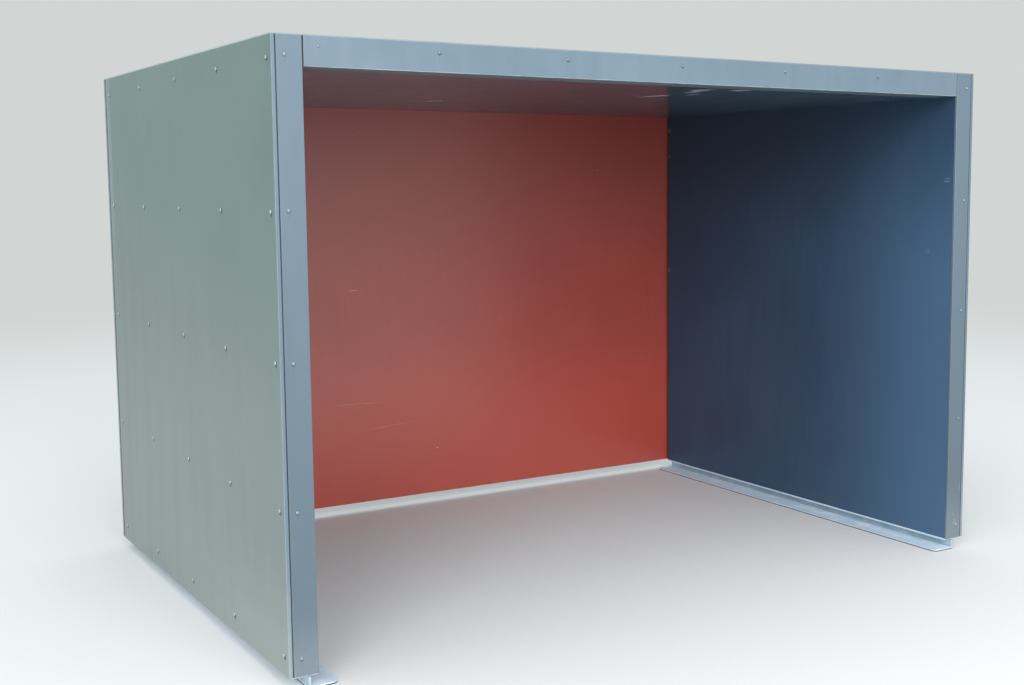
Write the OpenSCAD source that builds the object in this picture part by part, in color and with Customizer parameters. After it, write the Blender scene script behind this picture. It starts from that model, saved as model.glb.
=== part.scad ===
// Open-fronted bicycle shelter: two panelled side walls, a flat roof and a
// single-sheet rear wall, standing on two steel base angles.
// +X is to the right, the open front faces -Y, and Z = 0 is the ground.

/* [Overall] */
// Width over the outer side panels
overall_w = 3000; // [2400:10:3600]
// Depth of the outer side panels, front to back
side_d = 2000; // [1500:10:2400]
// Ground to the underside of the ceiling
clear_h = 1905; // [1700:5:2300]
// Ground to the bottom edge of the wall panels
ground_gap = 46; // [36:1:80]

/* [Panels] */
// Thickness of the outer side panels
outer_t = 12; // [8:1:20]
// Thickness of the inner wall linings
lining_t = 12; // [8:1:20]
// Thickness of the front fascias
fascia_t = 12; // [8:1:20]
// Thickness of the rear panel
rear_t = 12; // [8:1:20]
// Thickness of the ceiling panel
ceiling_t = 12; // [6:1:18]
// Open joint between a side fascia and the outer panel
shadow_gap = 3; // [2:0.5:6]
// Open joint between the top fascia and a side fascia
top_gap = 4; // [2:0.5:8]
// Open joint between the side walls and the rear panel
rear_gap = 18; // [8:1:30]
// Depth of the soffit board behind the top fascia
soffit_d = 110; // [70:5:160]
// Open joint between the soffit board and the ceiling panel
soffit_gap = 2; // [1:0.5:5]
// Broken edge on the visible panels
arris = 1.5; // [0.5:0.5:3]

/* [Wall frame] */
// Depth of the studs and rails across the wall
stud_w = 72; // [50:1:100]
// Width of a stud along the wall
stud_t = 60; // [40:1:80]
// Last row of screws to the back edge of a side panel
rear_fix = 52; // [35:1:70]
// Number of studs in a side wall
studs = 5; // [3:1:6]
// Height of the sill rail
sill_h = 90; // [60:1:120]

/* [Roof] */
// Height of the roof joists and of the head rails
joist_h = 60; // [45:1:120]
// Width of a roof joist
joist_t = 45; // [35:1:60]
// Spacing of the middle joists
joist_pitch = 476; // [380:1:520]
// Thickness of the front and rear roof rails
rim_t = 45; // [35:1:60]
// Thickness of the roof deck
deck_t = 16; // [12:1:24]
// Thickness of the roof covering
cover_t = 3; // [1.5:0.5:6]
// Thickness of the roof edge trim
trim_t = 4; // [2:0.5:6]
// Width of the roof edge trim
trim_w = 42; // [30:1:80]

/* [Base] */
// Thickness of the base angle
angle_t = 8; // [5:1:12]
// Inner face of the wall to the inner edge of the foot
foot_out = 68; // [50:1:110]
// Inner face of the wall to the upright leg
leg_in = 27; // [20:1:50]
// Radius inside the bend of the base angle
angle_r = 6; // [3:1:10]
// Radius of the free corners of the foot
foot_r = 25; // [10:1:40]
// Thickness of the bearing plate under the wall
plate_t = 7; // [4:1:10]

/* [Hidden] */

outer_colour = "#5d6669";
fascia_colour = "#6b7680";
lining_colour = "#26344f";
rear_colour = "#8c2a26";
ceiling_colour = "#3d4043";
timber_colour = "#b08d5f";
zinc_colour = "#9fb0bd";
cover_colour = "#4a4c4e";

wall_t = outer_t + stud_w + lining_t;
half_w = overall_w / 2;
overall_d = side_d + rear_gap + rear_t;
front_y = -overall_d / 2;
// Back edge of the side panels, then the front face of the rear panel
side_back_y = front_y + side_d;
rear_y = side_back_y + rear_gap;
back_y = rear_y + rear_t;
// Where the frame starts behind the fascias
frame_y = front_y + fascia_t;
ceiling_y = frame_y + soffit_d + soffit_gap;
ceiling_top = clear_h + ceiling_t;
joist_top = ceiling_top + joist_h;
deck_top = joist_top + deck_t;
panel_top = deck_top + cover_t;
panel_h = panel_top - ground_gap;
plate_z = ground_gap - plate_t;
sill_top = ground_gap + sill_h;
// Half the clear width between the linings, and between the wall frames
inner_x = half_w - wall_t;
frame_x = inner_x + lining_t;
first_stud_y = frame_y + stud_t / 2;
last_stud_y = side_back_y - rear_fix;
stud_pitch = (last_stud_y - first_stud_y) / (studs - 1);
joists = 7;
// The end joists lie against the wall frames
end_joist_x = frame_x - joist_t / 2;

// Box between two corners
module slab(a, b) {
    translate(a) cube(b - a);
}

// Upright sheet, with its four upright edges broken
module upright_sheet(a, b) {
    c = arris;
    translate([0, 0, a[2]])
        linear_extrude(b[2] - a[2])
            polygon([
                [a[0] + c, a[1]], [b[0] - c, a[1]], [b[0], a[1] + c], [b[0], b[1] - c],
                [b[0] - c, b[1]], [a[0] + c, b[1]], [a[0], b[1] - c], [a[0], a[1] + c]
            ]);
}

// side is -1 for the left wall and +1 for the right wall
module on_side(side) {
    if (side < 0) mirror([1, 0, 0]) children();
    else children();
}

// Cuts the corner at the origin of a plate that lies in +X and +Y to a radius
module corner_cut(r) {
    translate([-1, -1]) difference() {
        square(r + 1);
        translate([r + 1, r + 1]) circle(r, $fn = 64);
    }
}

// Steel angle that carries a side wall: its foot points into the shelter
module base_angle(side) {
    leg_a = inner_x + leg_in;
    leg_b = leg_a + angle_t;
    toe = inner_x - foot_out;
    color(zinc_colour) on_side(side) difference() {
        translate([0, side_back_y, 0])
            rotate([90, 0, 0])
                linear_extrude(side_d) {
                    translate([toe, 0]) square([leg_b - toe, angle_t]);
                    translate([leg_a, 0]) square([angle_t, plate_z]);
                    translate([leg_a - angle_r, angle_t]) difference() {
                        square(angle_r);
                        translate([0, angle_r]) circle(angle_r, $fn = 48);
                    }
                }
        translate([toe, front_y, -1]) linear_extrude(angle_t + 2) corner_cut(foot_r);
        translate([toe, side_back_y, -1])
            linear_extrude(angle_t + 2)
                mirror([0, 1]) corner_cut(foot_r);
    }
}

// Flat plate on the upright leg, under the frame and the lining
module bearing_plate(side) {
    color(zinc_colour) on_side(side)
        slab([inner_x, frame_y, plate_z], [half_w - outer_t, side_back_y, ground_gap]);
}

module sill_rail(side) {
    color(timber_colour) on_side(side)
        slab([frame_x, frame_y, ground_gap], [half_w - outer_t, rear_y, sill_top]);
}

module head_rail(side) {
    color(timber_colour) on_side(side)
        slab([frame_x, frame_y, ceiling_top], [half_w - outer_t, rear_y, joist_top]);
}

// The last stud is wider: it also carries the rear panel
module stud(side, n) {
    y = first_stud_y + (n - 1) * stud_pitch;
    y_end = n == studs ? rear_y : y + stud_t / 2;
    color(timber_colour) on_side(side)
        slab([frame_x, y - stud_t / 2, sill_top], [half_w - outer_t, y_end, ceiling_top]);
}

module outer_panel(side) {
    color(outer_colour) on_side(side)
        upright_sheet([half_w - outer_t, front_y, ground_gap], [half_w, side_back_y, panel_top]);
}

module lining(side) {
    color(lining_colour) on_side(side)
        slab([inner_x, frame_y, ground_gap], [frame_x, side_back_y, clear_h]);
}

module side_fascia(side) {
    color(fascia_colour) on_side(side)
        upright_sheet([inner_x, front_y, ground_gap], [half_w - outer_t - shadow_gap, frame_y, panel_top]);
}

// Its two lower edges are broken, its ends are cut square
module top_fascia() {
    x = inner_x - top_gap;
    c = arris;
    h = panel_top - clear_h;
    color(fascia_colour) translate([-x, front_y, clear_h])
        rotate([90, 0, 90])
            linear_extrude(2 * x)
                polygon([
                    [c, 0], [fascia_t - c, 0], [fascia_t, c], [fascia_t, h], [0, h], [0, c]
                ]);
}

module rear_panel() {
    color(rear_colour)
        upright_sheet([-half_w, rear_y, ground_gap], [half_w, back_y, panel_top]);
}

module ceiling_panel() {
    color(ceiling_colour)
        slab([-frame_x, ceiling_y, clear_h], [frame_x, side_back_y, ceiling_top]);
}

// Grey board between the top fascia and the ceiling panel
module front_soffit() {
    color(fascia_colour)
        slab([-frame_x, frame_y, clear_h], [frame_x, frame_y + soffit_d, ceiling_top]);
}

// Rail across the opening, at the front or the back of the roof
module roof_rail(y) {
    color(timber_colour)
        slab([-frame_x, y, ceiling_top], [frame_x, y + rim_t, joist_top]);
}

// Joists run front to back; the first and last lie against the walls
module roof_joist(n) {
    k = n - (joists + 1) / 2;
    x = n == 1 ? -end_joist_x : n == joists ? end_joist_x : k * joist_pitch;
    color(timber_colour)
        slab([x - joist_t / 2, frame_y + rim_t, ceiling_top],
             [x + joist_t / 2, rear_y - rim_t, joist_top]);
}

module roof_deck() {
    x = half_w - outer_t;
    color(timber_colour)
        slab([-x, frame_y, joist_top], [x, rear_y, deck_top]);
}

module roof_covering() {
    x = half_w - outer_t;
    color(cover_colour)
        slab([-x, frame_y, deck_top], [x, rear_y, panel_top]);
}

// Flat strips round the roof edge, mitred where they meet
module end_trim(y, inward) {
    w = trim_w;
    color(zinc_colour) translate([0, 0, panel_top]) linear_extrude(trim_t)
        polygon([
            [-half_w, y], [half_w, y],
            [half_w - w, y + inward * w], [-half_w + w, y + inward * w]
        ]);
}

module side_trim(side) {
    w = trim_w;
    color(zinc_colour) on_side(side) translate([0, 0, panel_top]) linear_extrude(trim_t)
        polygon([
            [half_w, front_y], [half_w, back_y],
            [half_w - w, back_y - w], [half_w - w, front_y + w]
        ]);
}

base_angle(-1);  // left_base_angle
base_angle(1);  // right_base_angle
bearing_plate(-1);  // left_bearing_plate
bearing_plate(1);  // right_bearing_plate
sill_rail(-1);  // left_sill_rail
sill_rail(1);  // right_sill_rail
stud(-1, 1);  // left_stud_1
stud(-1, 2);  // left_stud_2
stud(-1, 3);  // left_stud_3
stud(-1, 4);  // left_stud_4
stud(-1, 5);  // left_stud_5
stud(1, 1);  // right_stud_1
stud(1, 2);  // right_stud_2
stud(1, 3);  // right_stud_3
stud(1, 4);  // right_stud_4
stud(1, 5);  // right_stud_5
head_rail(-1);  // left_head_rail
head_rail(1);  // right_head_rail
outer_panel(-1);  // left_outer_panel
outer_panel(1);  // right_outer_panel
lining(-1);  // left_lining
lining(1);  // right_lining
side_fascia(-1);  // left_fascia
side_fascia(1);  // right_fascia
top_fascia();
rear_panel();
ceiling_panel();
front_soffit();
roof_rail(frame_y);  // roof_front_rail
roof_rail(rear_y - rim_t);  // roof_rear_rail
roof_joist(1);  // roof_joist_1
roof_joist(2);  // roof_joist_2
roof_joist(3);  // roof_joist_3
roof_joist(4);  // roof_joist_4
roof_joist(5);  // roof_joist_5
roof_joist(6);  // roof_joist_6
roof_joist(7);  // roof_joist_7
roof_deck();
roof_covering();
end_trim(front_y, 1);  // front_edge_trim
end_trim(back_y, -1);  // rear_edge_trim
side_trim(-1);  // left_edge_trim
side_trim(1);  // right_edge_trim
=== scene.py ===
import math

import bmesh
import bpy
from mathutils import Matrix, Vector


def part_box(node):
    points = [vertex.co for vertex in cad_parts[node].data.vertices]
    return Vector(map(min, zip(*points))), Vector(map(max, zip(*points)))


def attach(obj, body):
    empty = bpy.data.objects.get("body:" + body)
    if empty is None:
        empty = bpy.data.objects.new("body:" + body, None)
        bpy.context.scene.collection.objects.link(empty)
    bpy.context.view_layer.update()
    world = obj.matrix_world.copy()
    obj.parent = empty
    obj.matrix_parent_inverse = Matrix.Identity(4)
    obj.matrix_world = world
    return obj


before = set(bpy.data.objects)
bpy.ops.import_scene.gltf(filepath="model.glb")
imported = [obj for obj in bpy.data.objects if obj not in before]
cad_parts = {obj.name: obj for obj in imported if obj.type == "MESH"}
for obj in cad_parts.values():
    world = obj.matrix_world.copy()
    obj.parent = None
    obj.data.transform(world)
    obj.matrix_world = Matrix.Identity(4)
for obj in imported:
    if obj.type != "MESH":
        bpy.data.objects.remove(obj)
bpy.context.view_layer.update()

# The open front faces -Y and the left wall stands at -X. All lengths are in metres.
# Every place comes from the boxes of the CAD nodes, so the small parts follow the frame.

print("bike shelter: frame loaded")


# Node helpers: a value is a plain number, colour or vector, or another node's output

def feed(tree, socket, value):
    if isinstance(value, bpy.types.NodeSocket):
        tree.links.new(value, socket)
    else:
        socket.default_value = value


def addNode(tree, kind, inputs=None, **settings):
    node = tree.nodes.new(kind)
    node.location = (190 * len(tree.nodes), 0)
    for name, value in settings.items():
        setattr(node, name, value)
    for key, value in (inputs or {}).items():
        feed(tree, node.inputs[key], value)
    return node


def calc(tree, operation, a, b=0.0):
    return addNode(tree, "ShaderNodeMath", {0: a, 1: b}, operation=operation).outputs[0]


def times(tree, a, b):
    return calc(tree, "MULTIPLY", a, b)


def vectorCalc(tree, operation, a, b=(0.0, 0.0, 0.0), output=0):
    return addNode(tree, "ShaderNodeVectorMath", {0: a, 1: b}, operation=operation).outputs[output]


def split(tree, vector):
    return addNode(tree, "ShaderNodeSeparateXYZ", {0: vector}).outputs


def join(tree, x=0.0, y=0.0, z=0.0):
    return addNode(tree, "ShaderNodeCombineXYZ", {0: x, 1: y, 2: z}).outputs[0]


def fade(tree, value, start, end, atStart=0.0, atEnd=1.0):
    inputs = {0: value, 1: start, 2: end, 3: atStart, 4: atEnd}
    return addNode(tree, "ShaderNodeMapRange", inputs, interpolation_type="SMOOTHSTEP").outputs[0]


def blendColour(tree, factor, a, b, how="MIX"):
    inputs = {0: factor, 6: a, 7: b}
    return addNode(tree, "ShaderNodeMix", inputs, data_type="RGBA", blend_type=how).outputs[2]


def cloud(tree, place, scale=1.0, detail=2.0, roughness=0.5):
    inputs = {"Vector": place, "Scale": scale, "Detail": detail, "Roughness": roughness}
    return addNode(tree, "ShaderNodeTexNoise", inputs).outputs[0]


# Distance to the nearest of many lines at an even pitch, with its sign
def offLine(tree, value, pitch):
    cell = calc(tree, "DIVIDE", value, pitch)
    return times(tree, calc(tree, "SUBTRACT", cell, calc(tree, "ROUND", cell)), pitch)


# Coordinates on a sheet as seen from a centre and along a direction on it
def placeAt(tree, sheet, centre, angle):
    turn = join(tree, z=angle)
    inputs = {"Vector": sheet, "Location": centre, "Rotation": turn}
    return addNode(tree, "ShaderNodeMapping", inputs, vector_type="TEXTURE").outputs[0]


def startGroup(name, kind, inputs, outputs):
    group = bpy.data.node_groups.new(name, kind)
    for label, socketType, value in inputs:
        socket = group.interface.new_socket(label, in_out="INPUT", socket_type=socketType)
        if value is not None:
            socket.default_value = value
    for label, socketType in outputs:
        group.interface.new_socket(label, in_out="OUTPUT", socket_type=socketType)
    given = group.nodes.new("NodeGroupInput").outputs
    wanted = group.nodes.new("NodeGroupOutput").inputs
    return group, given, wanted


def useGroup(tree, group, inputs):
    return addNode(tree, "ShaderNodeGroup", inputs, node_tree=group).outputs


# Shared effects. "Sheet" is a place on the sheet: X across it, Y up it, Z through it

vectorType, floatType = "NodeSocketVector", "NodeSocketFloat"


# Soft upright streaks, as wiping and rain leave them on a painted sheet
def makeSoftStreaks():
    inputs = [("Sheet", vectorType, None), ("Width", floatType, 0.03), ("Length", floatType, 0.8),
              ("Seed", floatType, 0.0)]
    group, given, wanted = startGroup("softStreaks", "ShaderNodeTree", inputs, [("Mask", floatType)])
    parts = split(group, given["Sheet"])
    across = calc(group, "DIVIDE", parts[0], given["Width"])
    up = calc(group, "DIVIDE", parts[1], given["Length"])
    place = join(group, across, up, given["Seed"])
    feed(group, wanted["Mask"], fade(group, cloud(group, place, 1.0, 2.0, 0.5), 0.3, 0.72))
    return group


# Hairline scratches in patches, all at one angle
def makeHairScratches():
    inputs = [("Sheet", vectorType, None), ("Angle", floatType, 0.0), ("Length", floatType, 0.2),
              ("Width", floatType, 0.002), ("Coverage", floatType, 0.4), ("Seed", floatType, 0.0)]
    group, given, wanted = startGroup("hairScratches", "ShaderNodeTree", inputs, [("Mask", floatType)])
    turned = placeAt(group, given["Sheet"], (0.0, 0.0, 0.0), given["Angle"])
    parts = split(group, turned)
    along = calc(group, "DIVIDE", parts[0], given["Length"])
    aside = calc(group, "DIVIDE", parts[1], given["Width"])
    place = join(group, along, aside, given["Seed"])
    lines = fade(group, cloud(group, place, 1.0, 1.0), 0.66, 0.76)
    floor = calc(group, "SUBTRACT", 0.75, times(group, given["Coverage"], 0.5))
    spread = vectorCalc(group, "ADD", given["Sheet"], given["Seed"])
    patches = fade(group, cloud(group, spread, 3.5, 2.0), floor, calc(group, "ADD", floor, 0.15))
    feed(group, wanted["Mask"], times(group, lines, patches))
    return group


# Fine unevenness of a painted surface, and slow drifts of its tone
def makePaintSkin():
    inputs = [("Sheet", vectorType, None), ("Grain", floatType, 0.004), ("Drift", floatType, 0.5)]
    outputs = [("Height", floatType), ("Tone", floatType)]
    group, given, wanted = startGroup("paintSkin", "ShaderNodeTree", inputs, outputs)
    height = cloud(group, given["Sheet"], calc(group, "DIVIDE", 1.0, given["Grain"]), 2.0)
    tone = cloud(group, given["Sheet"], calc(group, "DIVIDE", 1.0, given["Drift"]), 3.0)
    feed(group, wanted["Height"], height)
    feed(group, wanted["Tone"], fade(group, tone, 0.3, 0.7))
    return group


# Dust that splashes up from the ground and thins out with height
def makeGroundDust():
    inputs = [("Sheet", vectorType, None), ("Bottom", floatType, 0.046), ("Reach", floatType, 0.35)]
    group, given, wanted = startGroup("groundDust", "ShaderNodeTree", inputs, [("Mask", floatType)])
    height = split(group, given["Sheet"])[1]
    above = calc(group, "SUBTRACT", height, given["Bottom"])
    level = calc(group, "DIVIDE", above, given["Reach"])
    patches = calc(group, "SUBTRACT", cloud(group, given["Sheet"], 16.0, 5.0), 0.5)
    uneven = times(group, patches, 0.4)
    film = fade(group, calc(group, "ADD", level, uneven), 1.0, -0.1)
    specks = fade(group, cloud(group, given["Sheet"], 260.0, 1.0), 0.52, 0.68)
    dots = times(group, specks, fade(group, level, 1.1, 0.0))
    feed(group, wanted["Mask"], calc(group, "MAXIMUM", times(group, film, 0.7), dots))
    return group


# A dark ring round every screw of an even grid, part dirt and part painted shadow, and a short run of dirt
# below it
def makeScrewShadowAndStain():
    inputs = [("Sheet", vectorType, None), ("First", vectorType, (0.0, 0.0, 0.0)),
              ("Pitch", vectorType, (0.5, 0.5, 1.0)), ("Halo", floatType, 0.012),
              ("Run", floatType, 0.05)]
    group, given, wanted = startGroup("screwShadowAndStain", "ShaderNodeTree", inputs, [("Mask", floatType)])
    shifted = vectorCalc(group, "SUBTRACT", given["Sheet"], given["First"])
    place = split(group, shifted)
    pitch = split(group, given["Pitch"])
    across, up = [offLine(group, place[axis], pitch[axis]) for axis in (0, 1)]
    flat = join(group, across, up)
    away = vectorCalc(group, "LENGTH", flat, output=1)
    ring = fade(group, away, given["Halo"], times(group, given["Halo"], 0.45))
    side = fade(group, calc(group, "ABSOLUTE", across), 0.004, 0.0015)
    below = calc(group, "DIVIDE", up, times(group, given["Run"], -1.0))
    run = times(group, side, fade(group, below, 1.0, 0.1))
    run = times(group, run, fade(group, below, 0.0, 0.03))
    feed(group, wanted["Mask"], calc(group, "MAXIMUM", ring, times(group, run, 0.2)))
    return group


# One scuff: a short bundle of pale lines
def makeScuffMark():
    inputs = [("Sheet", vectorType, None), ("Centre", vectorType, (0.0, 0.0, 0.0)),
              ("Angle", floatType, 0.0), ("Length", floatType, 0.1), ("Width", floatType, 0.004)]
    group, given, wanted = startGroup("scuffMark", "ShaderNodeTree", inputs, [("Mask", floatType)])
    turned = placeAt(group, given["Sheet"], given["Centre"], given["Angle"])
    parts = split(group, turned)
    along = calc(group, "DIVIDE", calc(group, "ABSOLUTE", parts[0]), given["Length"])
    aside = calc(group, "DIVIDE", calc(group, "ABSOLUTE", parts[1]), given["Width"])
    body = times(group, fade(group, along, 0.5, 0.25), fade(group, aside, 0.5, 0.2))
    stretched = vectorCalc(group, "MULTIPLY", turned, (14.0, 260.0, 1.0))
    lines = fade(group, cloud(group, stretched, 1.0, 3.0), 0.38, 0.6)
    feed(group, wanted["Mask"], times(group, body, lines))
    return group


# Broken edges of a sheet, which face two ways at once: patchy wear with a painted highlight
def makeEdgeWearHighlight():
    group, given, wanted = startGroup("edgeWearHighlight", "ShaderNodeTree", [("Sheet", vectorType, None)],
                                      [("Mask", floatType)])
    normal = addNode(group, "ShaderNodeNewGeometry").outputs["True Normal"]
    flat = vectorCalc(group, "ABSOLUTE", normal)
    parts = split(group, flat)
    largest = calc(group, "MAXIMUM", calc(group, "MAXIMUM", parts[0], parts[1]), parts[2])
    edge = fade(group, largest, 0.95, 0.85)
    worn = fade(group, cloud(group, given["Sheet"], 22.0, 4.0), 0.3, 0.6, 0.35, 1.0)
    feed(group, wanted["Mask"], times(group, edge, worn))
    return group


softStreaks = makeSoftStreaks()
hairScratches = makeHairScratches()
paintSkin = makePaintSkin()
groundDust = makeGroundDust()
screwShadowAndStain = makeScrewShadowAndStain()
scuffMark = makeScuffMark()
edgeWearHighlight = makeEdgeWearHighlight()
print("shared effects ready")


# Places that several pieces share, read from the frame

def low(node):
    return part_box(node)[0]


def high(node):
    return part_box(node)[1]


walls = ("left", "right")
joistNames = ["roof_joist_%d" % n for n in range(1, 8)]


def both(part):
    return [side + "_" + part for side in walls]


panelBottom = low("left_outer_panel").z
panelTop = high("left_outer_panel").z
frontFace = low("top_fascia").y
panelBack = high("left_outer_panel").y
outerFace = high("right_outer_panel").x
rearInside = low("rear_panel").y
rearOutside = high("rear_panel").y
liningBack = high("right_lining").x
studHalf = (high("left_stud_1").y - low("left_stud_1").y) / 2
studLines = [low("left_stud_%d" % n).y + studHalf for n in range(1, 6)]

screwRows = {"margin": 0.064, "count": 5}
rowBottom = panelBottom + screwRows["margin"]
rowPitch = (panelTop - panelBottom - 2 * screwRows["margin"]) / (screwRows["count"] - 1)
studPitch = (studLines[-1] - studLines[0]) / (len(studLines) - 1)
fasciaLine = {"fromOuterFace": 0.041, "belowTop": 0.029, "margin": 0.0572}
fasciaX = outerFace - fasciaLine["fromOuterFace"]
topLine = panelTop - fasciaLine["belowTop"]
fasciaRow = panelBottom + fasciaLine["margin"]
fasciaPitch = (panelTop - panelBottom - 2 * fasciaLine["margin"]) / (screwRows["count"] - 1)
joistLines = [(low(name).x + high(name).x) / 2 for name in joistNames]
joistPitch = joistLines[3] - joistLines[2]


# Turns object coordinates so that X runs across a sheet and Y up it
sheetTurns = {
    "side": Matrix(((0, 1, 0), (0, 0, 1), (1, 0, 0))).to_euler(),
    "front": Matrix(((1, 0, 0), (0, 0, 1), (0, -1, 0))).to_euler(),
    "level": Matrix.Identity(3).to_euler(),
}


def startMaterial(name, sockets):
    material = bpy.data.materials.new(name)
    material.use_nodes = True
    tree = material.node_tree
    shader = tree.nodes["Principled BSDF"]
    for socket, value in sockets.items():
        shader.inputs[socket].default_value = value
    place = addNode(tree, "ShaderNodeTexCoord").outputs["Object"]
    return material, tree, shader, place


def onSheet(tree, place, facing):
    inputs = {"Vector": place, "Rotation": sheetTurns[facing]}
    return addNode(tree, "ShaderNodeMapping", inputs).outputs[0]


def coat(tree, shader, colour, roughness, height, relief):
    feed(tree, shader.inputs["Base Color"], colour)
    feed(tree, shader.inputs["Roughness"], roughness)
    inputs = {"Height": height, "Distance": relief, "Strength": 1.0}
    feed(tree, shader.inputs["Normal"], addNode(tree, "ShaderNodeBump", inputs).outputs[0])


def dress(names, material):
    for name in names:
        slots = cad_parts[name].data.materials
        slots.clear()
        slots.append(material)


# Painted sheets: one recipe, each finish with its own values

outerSheet = {
    "name": "outerSheetPaint", "shine": 0.5, "facing": "side",
    "colour": (0.113, 0.186, 0.172, 1), "streakColour": (0.124, 0.200, 0.185, 1),
    "driftColour": (0.093, 0.155, 0.147, 1), "drift": 0.5,
    # Lighter lower down: painted reflection of the bright ground. The strong ground dust is part real dust,
    # part the same painted reflection
    "lowReflectionColour": (0.150, 0.196, 0.188, 1), "lowReflection": 0.9, "lowReflectionTop": 1.75, "lowReflectionBottom": 0.7,
    "dustColour": (0.46, 0.48, 0.475, 1), "dust": 0.55, "dustReach": 0.46,
    "roughness": 0.29, "streakRoughness": 0.05, "streakWidth": 0.10, "streakLength": 1.6,
    "grainHeight": 0.00008, "scratches": 0.30, "scratchShow": 0.22, "wearHighlight": 0.22,
}
fasciaSheet = {
    "name": "fasciaPaint", "shine": 0.42, "facing": "front",
    "colour": (0.152, 0.212, 0.262, 1), "streakColour": (0.166, 0.228, 0.278, 1),
    "driftColour": (0.118, 0.172, 0.222, 1), "drift": 0.5,
    "dustColour": (0.42, 0.45, 0.47, 1), "dust": 0.30, "dustReach": 0.25,
    "roughness": 0.30, "streakRoughness": 0.08, "streakWidth": 0.05, "streakLength": 0.50,
    # Colours of the painted shade, darker towards the ground
    "lowColour": (0.104, 0.146, 0.180, 1), "highColour": (0.138, 0.193, 0.240, 1),
    "gradeBottom": 0.2, "gradeTop": 1.95, "grade": 0.75,
    "grainHeight": 0.00006, "scratches": 0.25, "scratchShow": 0.12, "wearHighlight": 0.75,
}
liningSheet = {
    "name": "liningPaint", "shine": 0.22, "facing": "side",
    "colour": (0.036, 0.078, 0.140, 1), "streakColour": (0.042, 0.087, 0.152, 1),
    "driftColour": (0.025, 0.054, 0.100, 1), "drift": 0.4,
    # The lighter colour is painted light on the lower front, the shade colour painted shade on the upper
    # front
    "paintedLightColour": (0.070, 0.150, 0.262, 1), "paintedLight": 0.85, "shadeColour": (0.038, 0.068, 0.110, 1),
    "paintedLightDepth": -0.1, "paintedLightTop": 1.85, "paintedLightBottom": 1.1, "shadeBottom": 1.2, "shadeTop": 1.8,
    "dustColour": (0.16, 0.20, 0.25, 1), "dust": 0.08, "dustReach": 0.10,
    "roughness": 0.33, "streakRoughness": 0.08, "streakWidth": 0.04, "streakLength": 0.6,
    "grainHeight": 0.00008, "scratches": 0.40, "scratchShow": 0.06, "wearHighlight": 0.25,
}
rearSheet = {
    "name": "rearSheetPaint", "shine": 1.0, "facing": "front",
    "colour": (0.405, 0.064, 0.0465, 1), "streakColour": (0.425, 0.070, 0.051, 1),
    "driftColour": (0.32, 0.048, 0.036, 1), "drift": 0.4,
    # Painted light lower down and painted shade towards the top
    "lowColour": (0.480, 0.069, 0.045, 1), "highColour": (0.390, 0.082, 0.066, 1),
    "middle": 0.95, "bottom": 0.3, "top": 1.6, "paintedLightBelow": 0.8, "paintedShadeAbove": 0.6, "outsideDust": 0.5,
    "dustColour": (0.40, 0.22, 0.18, 1), "dust": 0.12, "dustReach": 0.12,
    "roughness": 0.30, "streakRoughness": 0.03, "streakWidth": 0.03, "streakLength": 0.7,
    "grainHeight": 0.00008, "scratches": 0.40, "scratchShow": 0.12, "wearHighlight": 0.3,
}
ceilingSheet = {
    "name": "ceilingPaint", "shine": 0.35, "facing": "level",
    "colour": (0.056, 0.102, 0.136, 1), "streakColour": (0.074, 0.124, 0.158, 1),
    "driftColour": (0.044, 0.082, 0.112, 1), "drift": 0.6,
    "dustColour": (0.25, 0.26, 0.27, 1), "dust": 0.0, "dustReach": 0.3,
    "roughness": 0.14, "streakRoughness": 0.07, "streakWidth": 0.09, "streakLength": 0.20,
    "grainHeight": 0.00002, "scratches": 0.55, "scratchShow": 0.30, "wearHighlight": 0.1,
}
soffitSheet = {
    "name": "soffitPaint", "shine": 0.32, "facing": "level",
    "colour": (0.104, 0.170, 0.184, 1), "streakColour": (0.112, 0.180, 0.195, 1),
    "driftColour": (0.084, 0.140, 0.153, 1), "drift": 0.4,
    "dustColour": (0.25, 0.26, 0.27, 1), "dust": 0.0, "dustReach": 0.3,
    "roughness": 0.40, "streakRoughness": 0.05, "streakWidth": 0.4, "streakLength": 0.03,
    "grainHeight": 0.00006, "scratches": 0.3, "scratchShow": 0.15, "wearHighlight": 0.1,
}
# Colour of worn edges, which also serves as a painted highlight
wearHighlightColour = (0.60, 0.66, 0.70, 1)
edgeGrey = (0.130, 0.188, 0.236, 1)
scratchColour = (0.60, 0.62, 0.62, 1)
tapeColour = (0.012, 0.013, 0.014, 1)
sheetWear = {"dustAtBack": 0.25, "dustRoughness": 0.4, "scratchAngle": 0.35}
# Screw rings: part dirt, part painted shadow, set a little below each screw like a cast shadow
stain = {
    "colour": (0.016, 0.024, 0.027, 1), "onWalls": 0.95, "wallHalo": 0.0135, "wallShadowDrop": 0.0050,
    "onUprights": 0.4, "onTop": 0.6, "fasciaHalo": 0.0090, "fasciaShadowDrop": 0.0034,
}
# How far in from its own face each finish reaches
finishDepth = {"corner": 0.005, "lowerEdge": 0.003, "wall": 0.0004, "rear": 0.0008, "trim": 0.0006,
               "joint": 0.001}


def streaksOf(tree, sheet, look):
    inputs = {"Sheet": sheet, "Width": look["streakWidth"], "Length": look["streakLength"]}
    return useGroup(tree, softStreaks, inputs)["Mask"]


def dustOf(tree, sheet, look):
    inputs = {"Sheet": sheet, "Bottom": panelBottom, "Reach": look["dustReach"]}
    return times(tree, useGroup(tree, groundDust, inputs)["Mask"], look["dust"])
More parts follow.
